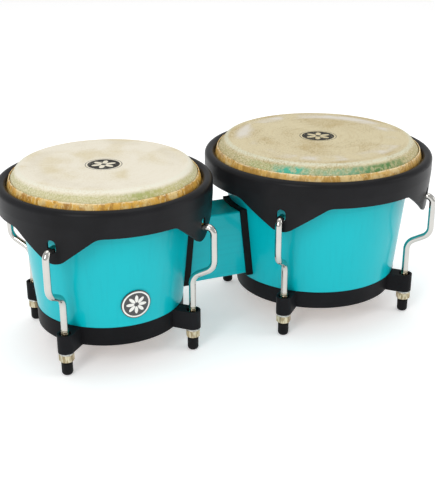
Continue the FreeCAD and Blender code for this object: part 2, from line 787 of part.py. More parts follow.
def tube(name, outer, inner, height):
    """A plain ring made from two cylinders."""
    big = doc.addObject("Part::Cylinder", f"{name}_outside")
    small = doc.addObject("Part::Cylinder", f"{name}_inside")
    bind(big, "Radius", outer)
    bind(big, "Height", height)
    bind(small, "Radius", inner)
    bind(small, "Height", height)
    ring = doc.addObject("Part::Cut", name)
    ring.Base, ring.Tool = big, small
    return ring


def make_tuning_washers(drum):
    """The four washers between the lugs and the tuning nuts."""
    rings = []
    for corner, quadrant in LUG_QUADRANTS.items():
        ring = tube(f"{drum}_washer_{corner}", "washer_radius", "lug_bore_radius",
                    "washer_thickness")
        stand_at_lug(ring, drum, quadrant)
        bind(ring, "Placement.Base.z", "lug_base - contact_gap - washer_thickness")
        rings.append(ring)
    group = doc.addObject("Part::Compound", f"{drum}_tuning_washers")
    group.Links = rings
    keep(group, f"{drum}_tuning_washers")


def make_drum(drum):
    make_shell(drum)
    make_bottom_ring(drum)
    make_skin(drum)
    make_flesh_hoop(drum)
    make_skin_tuck(drum)
    make_rim(drum)
    for corner, quadrant in LUG_QUADRANTS.items():
        make_rod(drum, corner, quadrant)
        make_tuning_nut(drum, corner, quadrant)
        make_tip(drum, corner, quadrant)
    make_tuning_washers(drum)


# ---------------------------------------------------------------- centre block

FACE_X = Rotation(Vector(0, 1, 0), 90)


def shell_cone(name, drum, growth):
    """The shell's outside between its ring and its shoulder, grown by a thickness."""
    cone = doc.addObject("Part::Cone", name)
    bind(cone, "Radius1", f"{drum}_foot_radius + {growth}")
    bind(cone, "Radius2", f"{drum}_head_radius - skin_thickness + {growth}")
    bind(cone, "Height", "shoulder_height - bottom_ring_top")
    place(cone, (AXIS_X[drum], "0", "bottom_ring_top"))
    return cone


def block_blank(name, growth):
    """A box from one drum's axis to the other's, grown at its top, bottom and sides."""
    box = doc.addObject("Part::Box", name)
    bind(box, "Length", "axis_spacing")
    bind(box, "Width", f"2 * block_half_width + 2 * {growth}")
    bind(box, "Height", f"block_top - block_base + 2 * {growth}")
    place(box, (AXIS_X["macho"], f"0 - block_half_width - {growth}", f"block_base - {growth}"))
    return box


def boolean(kind, name, base, tool):
    result = doc.addObject(f"Part::{kind}", name)
    result.Base, result.Tool = base, tool
    return result


def bolt_bore(name, height):
    """A long cylinder along X for a block bolt's clearance hole."""
    bore = doc.addObject("Part::Cylinder", name)
    bind(bore, "Radius", "block_bolt_radius + block_bore_clearance")
    bind(bore, "Height", "axis_spacing")
    place(bore, (AXIS_X["macho"], "0", height), FACE_X)
    return bore


def round_block_edges(name, base):
    """Round the block's four long edges."""
    doc.recompute()
    half, low, high = size("block_half_width"), size("block_base"), size("block_top")
    edges = []
    for number, edge in enumerate(base.Shape.Edges, start=1):
        ends = [v.Point for v in edge.Vertexes]
        on_side = all(abs(abs(p.y) - half) < 0.01 for p in ends)
        on_level = any(all(abs(p.z - z) < 0.01 for p in ends) for z in (low, high))
        if on_side and on_level and len(ends) == 2 and abs(ends[0].y - ends[1].y) < 0.01:
            radius = size("block_edge_round")
            edges.append((number, radius, radius))
    rounded = doc.addObject("Part::Fillet", name)
    rounded.Base = base
    rounded.Edges = edges
    return rounded


def make_centre_block(bores):
    """The block between the drums, hollowed at each end to sit on its gasket."""
    body = block_blank("block_blank", "0")
    for drum in DRUMS:
        cone = shell_cone(f"{drum}_block_clearance", drum, "gasket_thickness + contact_gap")
        body = boolean("Cut", f"block_cut_for_{drum}", body, cone)
    body = round_block_edges("block_rounded", body)
    for number, bore in enumerate(bores):
        body = boolean("Cut", f"block_bored_{number}", body, bore)
    body = boolean("Cut", "centre_block", body, plug_cylinder("plug_seat", "contact_gap"))
    keep(body, "centre_block")


def make_gasket(drum, bores):
    """The rubber pad between a shell and the block, a little larger than the block."""
    name = f"{drum}_block_gasket"
    outside = shell_cone(f"{name}_outside", drum, "gasket_thickness")
    inside = shell_cone(f"{name}_inside", drum, "contact_gap")
    pad = block_blank(f"{name}_blank", "gasket_overhang")
    bind(pad, "Length", "axis_spacing / 2")
    if drum == "hembra":
        bind(pad, "Placement.Base.x", f"{AXIS_X['hembra']} - axis_spacing / 2")
    pad = boolean("Common", f"{name}_common", pad, outside)
    pad = boolean("Cut", f"{name}_cut", pad, inside)
    for number, bore in enumerate(bores):
        pad = boolean("Cut", f"{name}_bored_{number}", pad, bore)
    keep(pad, name)


def inner_wall(drum, height):
    """The shell's inside radius at a height."""
    return f"( {shell_radius(drum, height)} - shell_wall )"


def make_block_fasteners():
    """Two through bolts, each with a washer at both ends and a nut in the large drum."""
    bolts, washers, nuts = [], [], []
    for height in ("block_bolt_low", "block_bolt_high"):
        start = f"{AXIS_X['macho']} + {inner_wall('macho', height)} - block_washer_standoff"
        end = f"{AXIS_X['hembra']} - {inner_wall('hembra', height)} + block_washer_standoff"
        word = height.rsplit("_", 1)[1]
        for side, text in (("small", f"{start} - block_washer_thickness"), ("large", end)):
            ring = tube(f"block_washer_{side}_{word}", "block_washer_radius",
                        "block_bolt_radius + block_bore_clearance", "block_washer_thickness")
            place(ring, (text, "0", height), FACE_X)
            washers.append(ring)
        bolts.append(make_block_bolt(word, height, start, end))
        nuts.append(make_block_nut(word, height, end))
    for label, pieces in (("block_bolts", bolts), ("block_washers", washers),
                          ("block_nuts", nuts)):
        group = doc.addObject("Part::Compound", label)
        group.Links = pieces
        keep(group, label)


def hexagon_prism(name, height):
    prism = doc.addObject("Part::Prism", name)
    prism.Polygon = 6
    bind(prism, "Circumradius", "bolt_head_radius")
    bind(prism, "Height", height)
    return prism


def make_block_bolt(word, height, start, end):
    """A hexagon-headed bolt along X with its head inside the small drum."""
    head_face = f"{start} - block_washer_thickness - contact_gap"
    shank = doc.addObject("Part::Cylinder", f"bolt_shank_{word}")
    bind(shank, "Radius", "block_bolt_radius")
    reach = "block_washer_thickness + bolt_nut_height + bolt_tail"
    bind(shank, "Height", f"{end} + {reach} - ( {head_face} )")
    place(shank, (head_face, "0", height), FACE_X)
    head = hexagon_prism(f"bolt_head_{word}", "bolt_head_height")
    place(head, (f"{head_face} - bolt_head_height", "0", height), FACE_X)
    return boolean("Fuse", f"block_bolt_{word}", shank, head)


def make_block_nut(word, height, end):
    prism = hexagon_prism(f"bolt_nut_body_{word}", "bolt_nut_height")
    seat = (f"{end} + block_washer_thickness + contact_gap", "0", height)
    place(prism, seat, FACE_X)
    bore = doc.addObject("Part::Cylinder", f"bolt_nut_bore_{word}")
    bind(bore, "Radius", "block_bolt_radius + contact_gap")
    bind(bore, "Height", "bolt_nut_height")
    place(bore, seat, FACE_X)
    return boolean("Cut", f"block_nut_{word}", prism, bore)


def plug_place():
    """The plug's middle: off the block's centre, towards the large drum and the player."""
    middle = (f"( {AXIS_X['macho']} + {shell_radius('macho', 'block_base')}"
              f" + {AXIS_X['hembra']} - {shell_radius('hembra', 'block_base')} ) / 2")
    return f"{middle} + plug_shift_across", "0 - plug_shift_forward"


def plug_cylinder(name, growth):
    stem = doc.addObject("Part::Cylinder", name)
    bind(stem, "Radius", f"plug_stem_radius + {growth}")
    bind(stem, "Height", f"plug_stem_length + {growth}")
    across, along = plug_place()
    place(stem, (across, along, "block_base"))
    return stem


def make_block_plug():
    """The rubber plug in the block's underside."""
    stem = plug_cylinder("plug_stem", "0")
    head = doc.addObject("Part::Cylinder", "plug_head")
    bind(head, "Radius", "plug_radius")
    bind(head, "Height", "plug_proud - contact_gap")
    across, along = plug_place()
    place(head, (across, along, "block_base - plug_proud"))
    neck = doc.addObject("Part::Cylinder", "plug_neck")
    bind(neck, "Radius", "plug_stem_radius")
    bind(neck, "Height", "plug_proud")
    place(neck, (across, along, "block_base - plug_proud"))
    lower = boolean("Fuse", "plug_lower", head, neck)
    keep(boolean("Fuse", "block_plug", lower, stem), "block_plug")


def make_badge():
    """The round badge on the small drum, curved to fit its shell."""
    outside = shell_cone("badge_outside", "macho", "badge_thickness")
    inside = shell_cone("badge_inside", "macho", "contact_gap")
    skin = boolean("Cut", "badge_sheet", outside, inside)
    punch = doc.addObject("Part::Cylinder", "badge_punch")
    bind(punch, "Radius", "badge_radius")
    bind(punch, "Height", "macho_head_radius + badge_thickness")
    turn = Rotation(Vector(0, 0, 1), size("badge_azimuth")).multiply(FACE_X)
    place(punch, (AXIS_X["macho"], "0", "badge_height"), turn)
    keep(boolean("Common", "badge", skin, punch), "badge")


# ---------------------------------------------------------------- build, check and write


def check_document():
    """Stop if any object failed or any sub-part's shape isn't a sound solid."""
    for obj in doc.Objects:
        if "Invalid" in obj.State or "Error" in obj.State:
            raise RuntimeError(f"{obj.Label} failed: {obj.State}")
    for obj in PARTS:
        if obj.Shape.isNull() or not obj.Shape.isValid() or not obj.Shape.Solids:
            raise RuntimeError(f"{obj.Label} has no sound solid")


for drum_name in DRUMS:
    make_drum(drum_name)
block_bores = [bolt_bore("low_bore", "block_bolt_low"), bolt_bore("high_bore", "block_bolt_high")]
make_centre_block(block_bores)
for drum_name in DRUMS:
    make_gasket(drum_name, block_bores)
make_block_fasteners()
make_block_plug()
make_badge()
doc.recompute()
check_document()
os.makedirs("parts", exist_ok=True)
for part in PARTS:
    part.Shape.exportStep(f"parts/{part.Label}.step")
    print(f"{part.Label}: {len(part.Shape.Solids)} solid(s), {part.Shape.Volume:.0f} mm3")
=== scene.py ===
# %% [markdown]
# # A pair of bongos
# Bongos are two small hand drums, the macho and the larger hembra, bolted to one wooden block.
# A CAD model gives every part its true shape and place, and it is loaded first and never moved.
# This lesson dresses that model: it paints the lacquer, the black steel and the chrome, and it
# grows the four soft parts of rawhide with Geometry Nodes, because CAD can only hold their space.

# %% Load the drums' frame
import math

import bmesh
import bpy
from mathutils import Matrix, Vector


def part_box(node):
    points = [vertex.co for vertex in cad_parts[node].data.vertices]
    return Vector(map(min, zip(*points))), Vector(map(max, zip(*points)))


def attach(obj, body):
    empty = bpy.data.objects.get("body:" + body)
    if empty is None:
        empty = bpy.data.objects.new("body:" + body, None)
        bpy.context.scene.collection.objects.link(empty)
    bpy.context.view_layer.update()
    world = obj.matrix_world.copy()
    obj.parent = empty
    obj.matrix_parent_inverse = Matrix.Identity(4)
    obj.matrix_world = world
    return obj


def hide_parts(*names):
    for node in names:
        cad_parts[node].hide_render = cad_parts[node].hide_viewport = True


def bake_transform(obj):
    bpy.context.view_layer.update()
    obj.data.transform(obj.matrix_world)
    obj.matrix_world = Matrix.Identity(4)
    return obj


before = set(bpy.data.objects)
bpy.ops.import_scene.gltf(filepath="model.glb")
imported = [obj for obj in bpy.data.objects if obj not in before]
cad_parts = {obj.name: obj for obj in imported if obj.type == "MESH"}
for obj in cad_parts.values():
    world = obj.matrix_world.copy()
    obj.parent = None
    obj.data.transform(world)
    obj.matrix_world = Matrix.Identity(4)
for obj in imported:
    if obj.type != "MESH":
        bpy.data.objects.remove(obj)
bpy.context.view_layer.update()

MM = 0.001
DRUMS = ("macho", "hembra")
CORNERS = ("front_left", "front_right", "back_right", "back_left")

# %% [markdown]
# ## The sizes that the looks need
# A pattern that follows a drum has to know where the drum's axis is and how wide its shell is.
# The boxes of the CAD pieces give most of it, so a change in the model carries through to here.
# Only the foot's radius is written out, because the lugs hide it in the ring's box.


# %% Read each drum's sizes
def half_width(node):
    """Half of a round piece's width along X."""
    low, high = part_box(node)
    return (high[0] - low[0]) / 2


def drum_sizes(drum, foot):
    """A drum's axis, radii and heights in metres."""
    rim_low, rim_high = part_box(f"{drum}_rim")
    nut_low, nut_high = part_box(f"{drum}_nut_back_right")
    axis = (rim_low[0] + rim_high[0]) / 2
    return {
        "axis": axis,
        "foot": foot,
        "shell": half_width(f"{drum}_shell"),
        "collar": half_width(f"{drum}_skin"),
        "wrap": half_width(f"{drum}_skin_tuck"),
        "top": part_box(f"{drum}_skin")[1][2],
        "edge_top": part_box(f"{drum}_skin_tuck")[1][2],
        "lug_across": (nut_low[0] + nut_high[0]) / 2 - axis,
        "nut_top": nut_high[2],
    }


SIZES = {"macho": drum_sizes("macho", 69.9 * MM), "hembra": drum_sizes("hembra", 82 * MM)}
for drum, sizes in SIZES.items():
    print(drum, {word: round(value * 1000, 1) for word, value in sizes.items()})

# %% [markdown]
# ## Writing node trees as sums
# A material's pattern is arithmetic on positions. Clicking hundreds of Math nodes together is
# slow and hard to read, so a small class wraps an output socket and lets Python's own signs add
# the nodes. The same class serves Geometry Nodes, which share the Math and Noise nodes.


# %% Wrap a socket
class Socket:
    """An output that varies over a surface or a mesh, and that can stand in a sum."""

    def __init__(self, tree, output):
        self.tree = tree
        self.output = output

    def math(self, operation, *others):
        values = dict(enumerate((self, *others)))
        return self.tree.node("ShaderNodeMath", {"operation": operation}, values)

    def other(self, name):
        """Another output of the same node."""
        return Socket(self.tree, self.output.node.outputs[name])

    def rise(self, low, high):
        """0 below low, 1 above high, and smooth in between."""
        limits = {"Value": self, "From Min": low, "From Max": high}
        return self.tree.node("ShaderNodeMapRange", {"interpolation_type": "SMOOTHSTEP"}, limits)

    def slide(self, low, high, start, end):
        """A straight ramp from start at low to end at high, level beyond them."""
        limits = {"Value": self, "From Min": low, "From Max": high, "To Min": start, "To Max": end}
        return self.tree.node("ShaderNodeMapRange", None, limits)

    def __add__(self, other):
        return self.math("ADD", other)

    __radd__ = __add__

    def __sub__(self, other):
        return self.math("SUBTRACT", other)

    def __rsub__(self, other):
        return self.tree.node("ShaderNodeMath", {"operation": "SUBTRACT"}, {0: other, 1: self})

    def __mul__(self, other):
        return self.math("MULTIPLY", other)

    __rmul__ = __mul__

    def __truediv__(self, other):
        return self.math("DIVIDE", other)

    def __abs__(self):
        return self.math("ABSOLUTE")


# %% Grow a tree one node at a time
class Tree:
    """A node tree of either kind."""

    def __init__(self, node_tree):
        self.nodes = node_tree.nodes
        self.links = node_tree.links

    def feed(self, socket, value):
        if isinstance(value, Socket):
            self.links.new(value.output, socket)
        else:
            socket.default_value = value

    def node(self, kind, settings=None, sockets=None, out=0):
        """Add a node: its settings first, then its sockets, and hand back one output."""
        made = self.nodes.new(kind)
        for name, value in (settings or {}).items():
            setattr(made, name, value)
        for key, value in (sockets or {}).items():
            self.feed(made.inputs[key], value)
        return Socket(self, made.outputs[out])

    def split(self, vector):
        """The three numbers of a vector."""
        across = self.node("ShaderNodeSeparateXYZ", None, {0: vector})
        return across, across.other("Y"), across.other("Z")

    def join(self, x, y, z):
        return self.node("ShaderNodeCombineXYZ", None, {"X": x, "Y": y, "Z": z})

    def noise(self, at, scale, detail=3, rough=0.5, distortion=0):
        """Cloudy noise whose patches are about 1 / scale across."""
        sockets = {"Vector": at, "Scale": scale, "Detail": detail, "Roughness": rough,
                   "Distortion": distortion}
        return self.node("ShaderNodeTexNoise", None, sockets)

    def stretch(self, at, x, y, z):
        """The same place, counted in other units along each axis."""
        return self.node("ShaderNodeVectorMath", {"operation": "MULTIPLY"}, {0: at, 1: (x, y, z)})


# %% [markdown]
# ## One finish at a time
# Every finish is a Principled shader. What is the same all over is set on the shader itself, and
# only colour, roughness, metal and normal follow a pattern. Patterns read Object coordinates, in
# metres, so a scale of 500 means a grain of 2 mm on every piece.


# %% Set up a finish
def paint(red, green, blue):
    """A colour from its usual 0 to 255 numbers, as the shader's linear light."""
    parts = [c / 255 for c in (red, green, blue)]
    linear = [c / 12.92 if c <= 0.04045 else ((c + 0.055) / 1.055) ** 2.4 for c in parts]
    return (*linear, 1.0)


def socket_name(word):
    """The shader's own name for a keyword, such as "Base Color" for base_color."""
    return word.replace("_", " ").title().replace("Ior", "IOR")


class Finish(Tree):
    """A material, with the place on the object as its starting point."""

    def __init__(self, name, **fixed):
        self.material = bpy.data.materials.new(name)
        self.material.use_nodes = True
        super().__init__(self.material.node_tree)
        self.shader = self.nodes["Principled BSDF"]
        for word, value in fixed.items():
            self.feed(self.shader.inputs[socket_name(word)], value)
        self.place = self.node("ShaderNodeTexCoord", out="Object")
        self.x, self.y, self.z = self.split(self.place)

    def mix(self, share, one, other):
        """One colour turning into another as share goes from 0 to 1."""
        settings = {"data_type": "RGBA", "clamp_factor": True}
        return self.node("ShaderNodeMix", settings, {0: share, 6: one, 7: other}, out=2)

    def bump(self, height, depth, normal=None):
        """A dented normal: height from 0 to 1 stands for depth metres."""
        sockets = {"Height": height, "Distance": depth, "Strength": 1.0}
        if normal:
            sockets["Normal"] = normal
        return self.node("ShaderNodeBump", None, sockets)

    def soft_edge(self, radius):
        """The normal of a surface whose sharp edges are rounded to a radius."""
        return self.node("ShaderNodeBevel", {"samples": 4}, {"Radius": radius})

    def wear(self, rounded):
        """How much an edge turns here: 0 on a flat, above 0 where it would rub bright."""
        flat = self.node("ShaderNodeNewGeometry", out="Normal")
        settings = {"operation": "DOT_PRODUCT"}
        return 1 - self.node("ShaderNodeVectorMath", settings, {0: rounded, 1: flat}, out="Value")

    def surface(self, **varied):
        for word, value in varied.items():
            self.feed(self.shader.inputs[socket_name(word)], value)
        return self.material


def dress(node, material):
    """Give a CAD piece a finish, in place of its plain colour."""
    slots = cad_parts[node].material_slots
    for place in slots:
        place.material = material


# %% [markdown]
# ## Teal lacquer over a staved shell
# A bongo shell is glued up from staves, turned to a cone, sanded and sprayed with gloss lacquer.
# Up close the grain prints through as faint upright lines, and the spray leaves slow waves that
# bend the highlights. Inside, the wood is bare, so the finish changes at the middle of the wall.


# %% Measure round a drum's axis
def about_axis(finish, drum):
    """Distance from the drum's axis, and the azimuth in radians."""
    across = finish.x - SIZES[drum]["axis"]
    distance = (across * across + finish.y * finish.y).math("SQRT")
    return distance, finish.y.math("ARCTAN2", across)


STAVES = 20


def bare_staves(finish, azimuth):
    """Bare wood: upright grain, a tone of its own for each stave, and dark glue lines."""
    turns = azimuth * (STAVES / math.tau)
    tone = finish.node("ShaderNodeTexWhiteNoise", {"noise_dimensions": "1D"},
                       {"W": turns.math("FLOOR")})
    grain = finish.noise(finish.stretch(finish.place, 1, 1, 0.05), 420, detail=6, rough=0.65)
    glue = abs(turns.math("FRACT") - 0.5).rise(0.485, 0.497)
    wood = finish.mix(grain.rise(0.35, 0.7), paint(205, 160, 108), paint(150, 104, 62))
    wood = finish.mix(tone * 0.35, wood, paint(222, 184, 136))
    return finish.mix(glue * 0.7, wood, paint(70, 45, 25)), grain


# %% Mix the shell's lacquer
WALL = 9 * MM
RING_TOP = 41 * MM
SHOULDER = 125 * MM
TEAL = paint(0, 188, 198)
TEAL_DEEP = paint(0, 174, 186)


def shell_finish(drum):
    """Gloss teal outside and bare staves inside."""
    sizes = SIZES[drum]
    finish = Finish(f"{drum}_shell_lacquer", coat_roughness=0.06, specular_ior_level=0.1)
    distance, azimuth = about_axis(finish, drum)
    outside = finish.z.slide(RING_TOP, SHOULDER, sizes["foot"], sizes["shell"])
    lacquered = (distance - outside + WALL).rise(0.4 * WALL, 0.6 * WALL)
    upright = finish.stretch(finish.place, 1, 1, 0.06)
    grain = finish.noise(upright, 330, detail=5, rough=0.6)
    cloud = finish.noise(finish.place, 14, detail=2)
    teal = finish.mix(grain.rise(0.45, 0.8) * 0.35 + cloud.rise(0.3, 0.8) * 0.3, TEAL, TEAL_DEEP)
    wood, pores = bare_staves(finish, azimuth)
    waves = finish.noise(finish.place, 70, detail=2)
    height = (grain * 0.12 + waves) * lacquered + pores * (1 - lacquered) * 4
    return finish.surface(
        base_color=finish.mix(lacquered, wood, teal),
        roughness=0.62 - lacquered * 0.3 + cloud * 0.04,
        coat_weight=lacquered * 0.3,
        normal=finish.bump(height, 0.05 * MM),
    )


for drum in DRUMS:
    dress(f"{drum}_shell", shell_finish(drum))
print("shell lacquer on", [f"{drum}_shell" for drum in DRUMS])

# %% [markdown]
# ## The centre block
# The block is sprayed with the same lacquer, but its grain runs from drum to drum. Its edges are
# sanded over, so the lacquer thins a little there and shows slightly paler.


# %% Mix the block's lacquer
def block_finish():
    finish = Finish("block_lacquer", coat_weight=0.3, coat_roughness=0.06, specular_ior_level=0.1)
    rounded = finish.soft_edge(1.2 * MM)
    along = finish.stretch(finish.place, 0.06, 1, 1)
    grain = finish.noise(along, 360, detail=5, rough=0.6)
    teal = finish.mix(grain.rise(0.4, 0.8) * 0.5, TEAL, TEAL_DEEP)
    teal = finish.mix(finish.wear(rounded).rise(0.02, 0.2) * 0.25, teal, paint(60, 195, 205))
    waves = finish.noise(finish.place, 80, detail=2)
    return finish.surface(
        base_color=teal,
        roughness=0.32 + grain * 0.08,
        normal=finish.bump(grain * 0.15 + waves, 0.05 * MM, rounded),
    )


dress("centre_block", block_finish())
print("block lacquer on centre_block")

# %% [markdown]
# ## Black enamel on pressed and cast metal
# The rims are pressed steel and the bottom rings are cast aluminium, both powder coated black.
# Powder coat melts into a fine orange peel and dulls the shine evenly. It wears first on edges,
# where it turns a little grey. A Bevel node finds the edges without touching the CAD mesh.


# %% Mix the black enamel
def black_enamel(name, peel, depth, shine, gleam):
    """Satin black: peel is the ripple's scale, shine the roughness and gleam its reflection."""
    finish = Finish(name, specular_ior_level=gleam)
    rounded = finish.soft_edge(0.8 * MM)
    cloud = finish.noise(finish.place, 22, detail=3)
    ripple = finish.noise(finish.place, peel, detail=2)
    dust = finish.noise(finish.place, 1900, detail=2).rise(0.62, 0.74)
    black = finish.mix(cloud.rise(0.3, 0.75), (0.0095, 0.0095, 0.0105, 1), (0.015, 0.0152, 0.017, 1))
    black = finish.mix(dust * 0.12, black, (0.07, 0.07, 0.075, 1))
    black = finish.mix(finish.wear(rounded).rise(0.03, 0.3) * 0.35, black, (0.05, 0.05, 0.052, 1))
    return finish.surface(
        base_color=black,
        roughness=shine + cloud * 0.1 + dust * 0.08,
        normal=finish.bump(ripple, depth, rounded),
    )


rim_enamel = black_enamel("rim_enamel", peel=620, depth=0.02 * MM, shine=0.3, gleam=0.11)
ring_enamel = black_enamel("ring_enamel", peel=480, depth=0.035 * MM, shine=0.36, gleam=0.04)
for drum in DRUMS:
    dress(f"{drum}_rim", rim_enamel)
    dress(f"{drum}_bottom_ring", ring_enamel)
print("black enamel on rims and bottom rings")

# %% [markdown]
# ## Bright metal
# The rods are quarter-inch steel wire, bent cold and chromed, with rolled threads on the lower
# leg that keep a straw tint of oil. The tuning nuts are pale brass with a nickel collar, turned
# on a lathe, so their faint lines run round them. Washers and bolts are plain zinc-coated steel.


# %% Mix chrome, nickel, brass and zinc
def chrome_finish():
    finish = Finish("rod_chrome", metallic=1.0)
    scratch = finish.noise(finish.stretch(finish.place, 1, 1, 0.15), 1500, detail=4, rough=0.7)
    cloud = finish.noise(finish.place, 60, detail=2)
    oiled = (1 - finish.z.rise(42 * MM, 47 * MM)) * 0.6
    chrome = finish.mix(cloud, (0.62, 0.605, 0.57, 1), (0.52, 0.51, 0.485, 1))
    return finish.surface(
        base_color=finish.mix(oiled, chrome, paint(190, 168, 116)),
        roughness=0.1 + scratch.rise(0.5, 0.8) * 0.1 + oiled * 0.14,
        normal=finish.bump(scratch, 0.008 * MM),
    )


def nut_finish(drum):
    """Brass hexagon, nickel collar: the change is at the foot of the collar."""
    collar = SIZES[drum]["nut_top"] - 1 * MM
    finish = Finish(f"{drum}_nut_brass", metallic=1.0)
    nickel = finish.z.rise(collar - 0.1 * MM, collar + 0.1 * MM)
    lines = finish.noise(finish.stretch(finish.place, 0.1, 0.1, 1), 5200, detail=2)
    stain = finish.noise(finish.stretch(finish.place, 1, 1, 0.25), 520, detail=3).rise(0.4, 0.62)
    brass = finish.mix(stain * 0.85, paint(214, 204, 176), paint(150, 132, 96))
    rounded = finish.soft_edge(0.4 * MM)
    return finish.surface(
        base_color=finish.mix(nickel, brass, paint(226, 224, 216)),
        roughness=0.26 + stain * 0.14 + lines * 0.1 - nickel * 0.08,
        normal=finish.bump(lines, 0.012 * MM, rounded),
    )


def zinc_finish(name, tint):
    finish = Finish(name, metallic=1.0)
    spangle = finish.noise(finish.place, 700, detail=4, rough=0.6)
    return finish.surface(
        base_color=finish.mix(spangle.rise(0.35, 0.7), tint, paint(150, 150, 150)),
        roughness=0.28 + spangle * 0.22,
        normal=finish.bump(spangle, 0.02 * MM, finish.soft_edge(0.3 * MM)),
    )


chrome = chrome_finish()
washer_zinc = zinc_finish("washer_steel", paint(208, 208, 204))
bolt_zinc = zinc_finish("bolt_steel", paint(196, 198, 200))
for drum in DRUMS:
    nut_brass = nut_finish(drum)
    dress(f"{drum}_tuning_washers", washer_zinc)
    dress(f"{drum}_flesh_hoop", washer_zinc)
    for corner in CORNERS:
        dress(f"{drum}_rod_{corner}", chrome)
        dress(f"{drum}_nut_{corner}", nut_brass)
for node in ("block_bolts", "block_washers", "block_nuts"):
    dress(node, bolt_zinc)
print("bright metal on rods, nuts, washers, hoops and block bolts")

# %% [markdown]
# ## Black rubber
# The tips, gaskets and plug are moulded rubber. It scatters light softly, shows the fine sparkle
# of its mould, and greys with dust where it touches the floor.


# %% Mix the rubber
def rubber_finish(name, dusty_below=0.0):
    """Matte black, with dust up to a height above the floor."""
    finish = Finish(name, specular_ior_level=0.14)
    speckle = finish.noise(finish.place, 2600, detail=2)
    bloom = finish.noise(finish.place, 160, detail=4).rise(0.4, 0.75)
    rubber = finish.mix(bloom, (0.004, 0.004, 0.0045, 1), (0.0095, 0.0095, 0.01, 1))
    if dusty_below:
        dust = (1 - finish.z.rise(0, dusty_below)) * (0.3 + bloom * 0.7)
        rubber = finish.mix(dust * 0.3, rubber, (0.1, 0.095, 0.088, 1))
    rounded = finish.soft_edge(0.6 * MM)
    return finish.surface(
        base_color=rubber,
        roughness=0.5 + bloom * 0.2,
        normal=finish.bump(speckle, 0.03 * MM, rounded),
    )


tip_rubber = rubber_finish("tip_rubber", dusty_below=2.2 * MM)
gasket_rubber = rubber_finish("gasket_rubber")
for drum in DRUMS:
    dress(f"{drum}_block_gasket", gasket_rubber)
    for corner in CORNERS:
        dress(f"{drum}_tip_{corner}", tip_rubber)
dress("block_plug", rubber_finish("plug_rubber"))
print("rubber on tips, gaskets and plug")

# %% [markdown]
# ## Growing parts with Geometry Nodes
# A tree with named inputs is a recipe: the same tree makes both drums' hides from different
# sizes. Its result is then frozen into a plain mesh, so the finished object has no live modifier.


# %% Set up a recipe
class Recipe(Tree):
    """A Geometry Nodes tree with named inputs."""

    def __init__(self, name):
        self.group = bpy.data.node_groups.new(name, "GeometryNodeTree")
        super().__init__(self.group)
        self.ports = self.group.interface
        self.entry = self.nodes.new("NodeGroupInput")
        self.start = self.wanted("Geometry", "Geometry")

    def wanted(self, name, kind="Float"):
        """An input of the recipe."""
        self.ports.new_socket(name=name, in_out="INPUT", socket_type=f"NodeSocket{kind}")
        return Socket(self, self.entry.outputs[name])

    def serve(self, geometry):
        """End the tree: real geometry, with its material."""
        self.ports.new_socket(name="Geometry", in_out="OUTPUT", socket_type="NodeSocketGeometry")
        material = self.wanted("Material", "Material")
        real = self.node("GeometryNodeRealizeInstances", None, {"Geometry": geometry})
        dressed = self.node("GeometryNodeSetMaterial", None, {"Geometry": real, "Material": material})
        self.feed(self.nodes.new("NodeGroupOutput").inputs[0], dressed)
        return self


def grow(name, recipe, amounts, base=None):
    """Run a recipe once and keep the result as a plain mesh object."""
    starter = bpy.data.objects.new(f"{name}_starter", base or bpy.data.meshes.new(name))
    bpy.context.collection.objects.link(starter)
    modifier = starter.modifiers.new("recipe", "NODES")
    modifier.node_group = recipe.group
    for port in recipe.ports.items_tree:
        if port.in_out == "INPUT" and port.name in amounts:
            modifier[port.identifier] = amounts[port.name]
    evaluated = starter.evaluated_get(bpy.context.evaluated_depsgraph_get())
    mesh = bpy.data.meshes.new_from_object(evaluated)
    bpy.data.objects.remove(starter)
    piece = bpy.data.objects.new(name, mesh)
    bpy.context.collection.objects.link(piece)
    return piece


def tidy_faces(piece, crease=40):
    """Weld what coincides, turn all faces outwards, and smooth all but the sharp edges."""
    shape = bmesh.new()
    shape.from_mesh(piece.data)
    bmesh.ops.remove_doubles(shape, verts=shape.verts, dist=0.002 * MM)
    bmesh.ops.dissolve_degenerate(shape, edges=shape.edges, dist=0.001 * MM)
    bmesh.ops.recalc_face_normals(shape, faces=shape.faces)
    open_edges = sum(len(edge.link_faces) != 2 for edge in shape.edges)
    shape.to_mesh(piece.data)
    shape.free()
    piece.data.shade_smooth()
    piece.data.set_sharp_from_angle(angle=math.radians(crease))
    print(f"{piece.name}: {len(piece.data.polygons)} faces, {open_edges} open edges")
    return piece


# %% [markdown]
# ## A recipe for rawhide turned round a drum
# A drum hide is soaked, stretched over the shell and left to dry hard, so its shape is a profile
# turned round the axis plus the small folds that drying leaves. The recipe samples the profile
# along a grid of angles and stations, then pushes the folds in and out and lets the cut edge
# rise and fall. Noise read on a circle meets itself, so there is no seam.


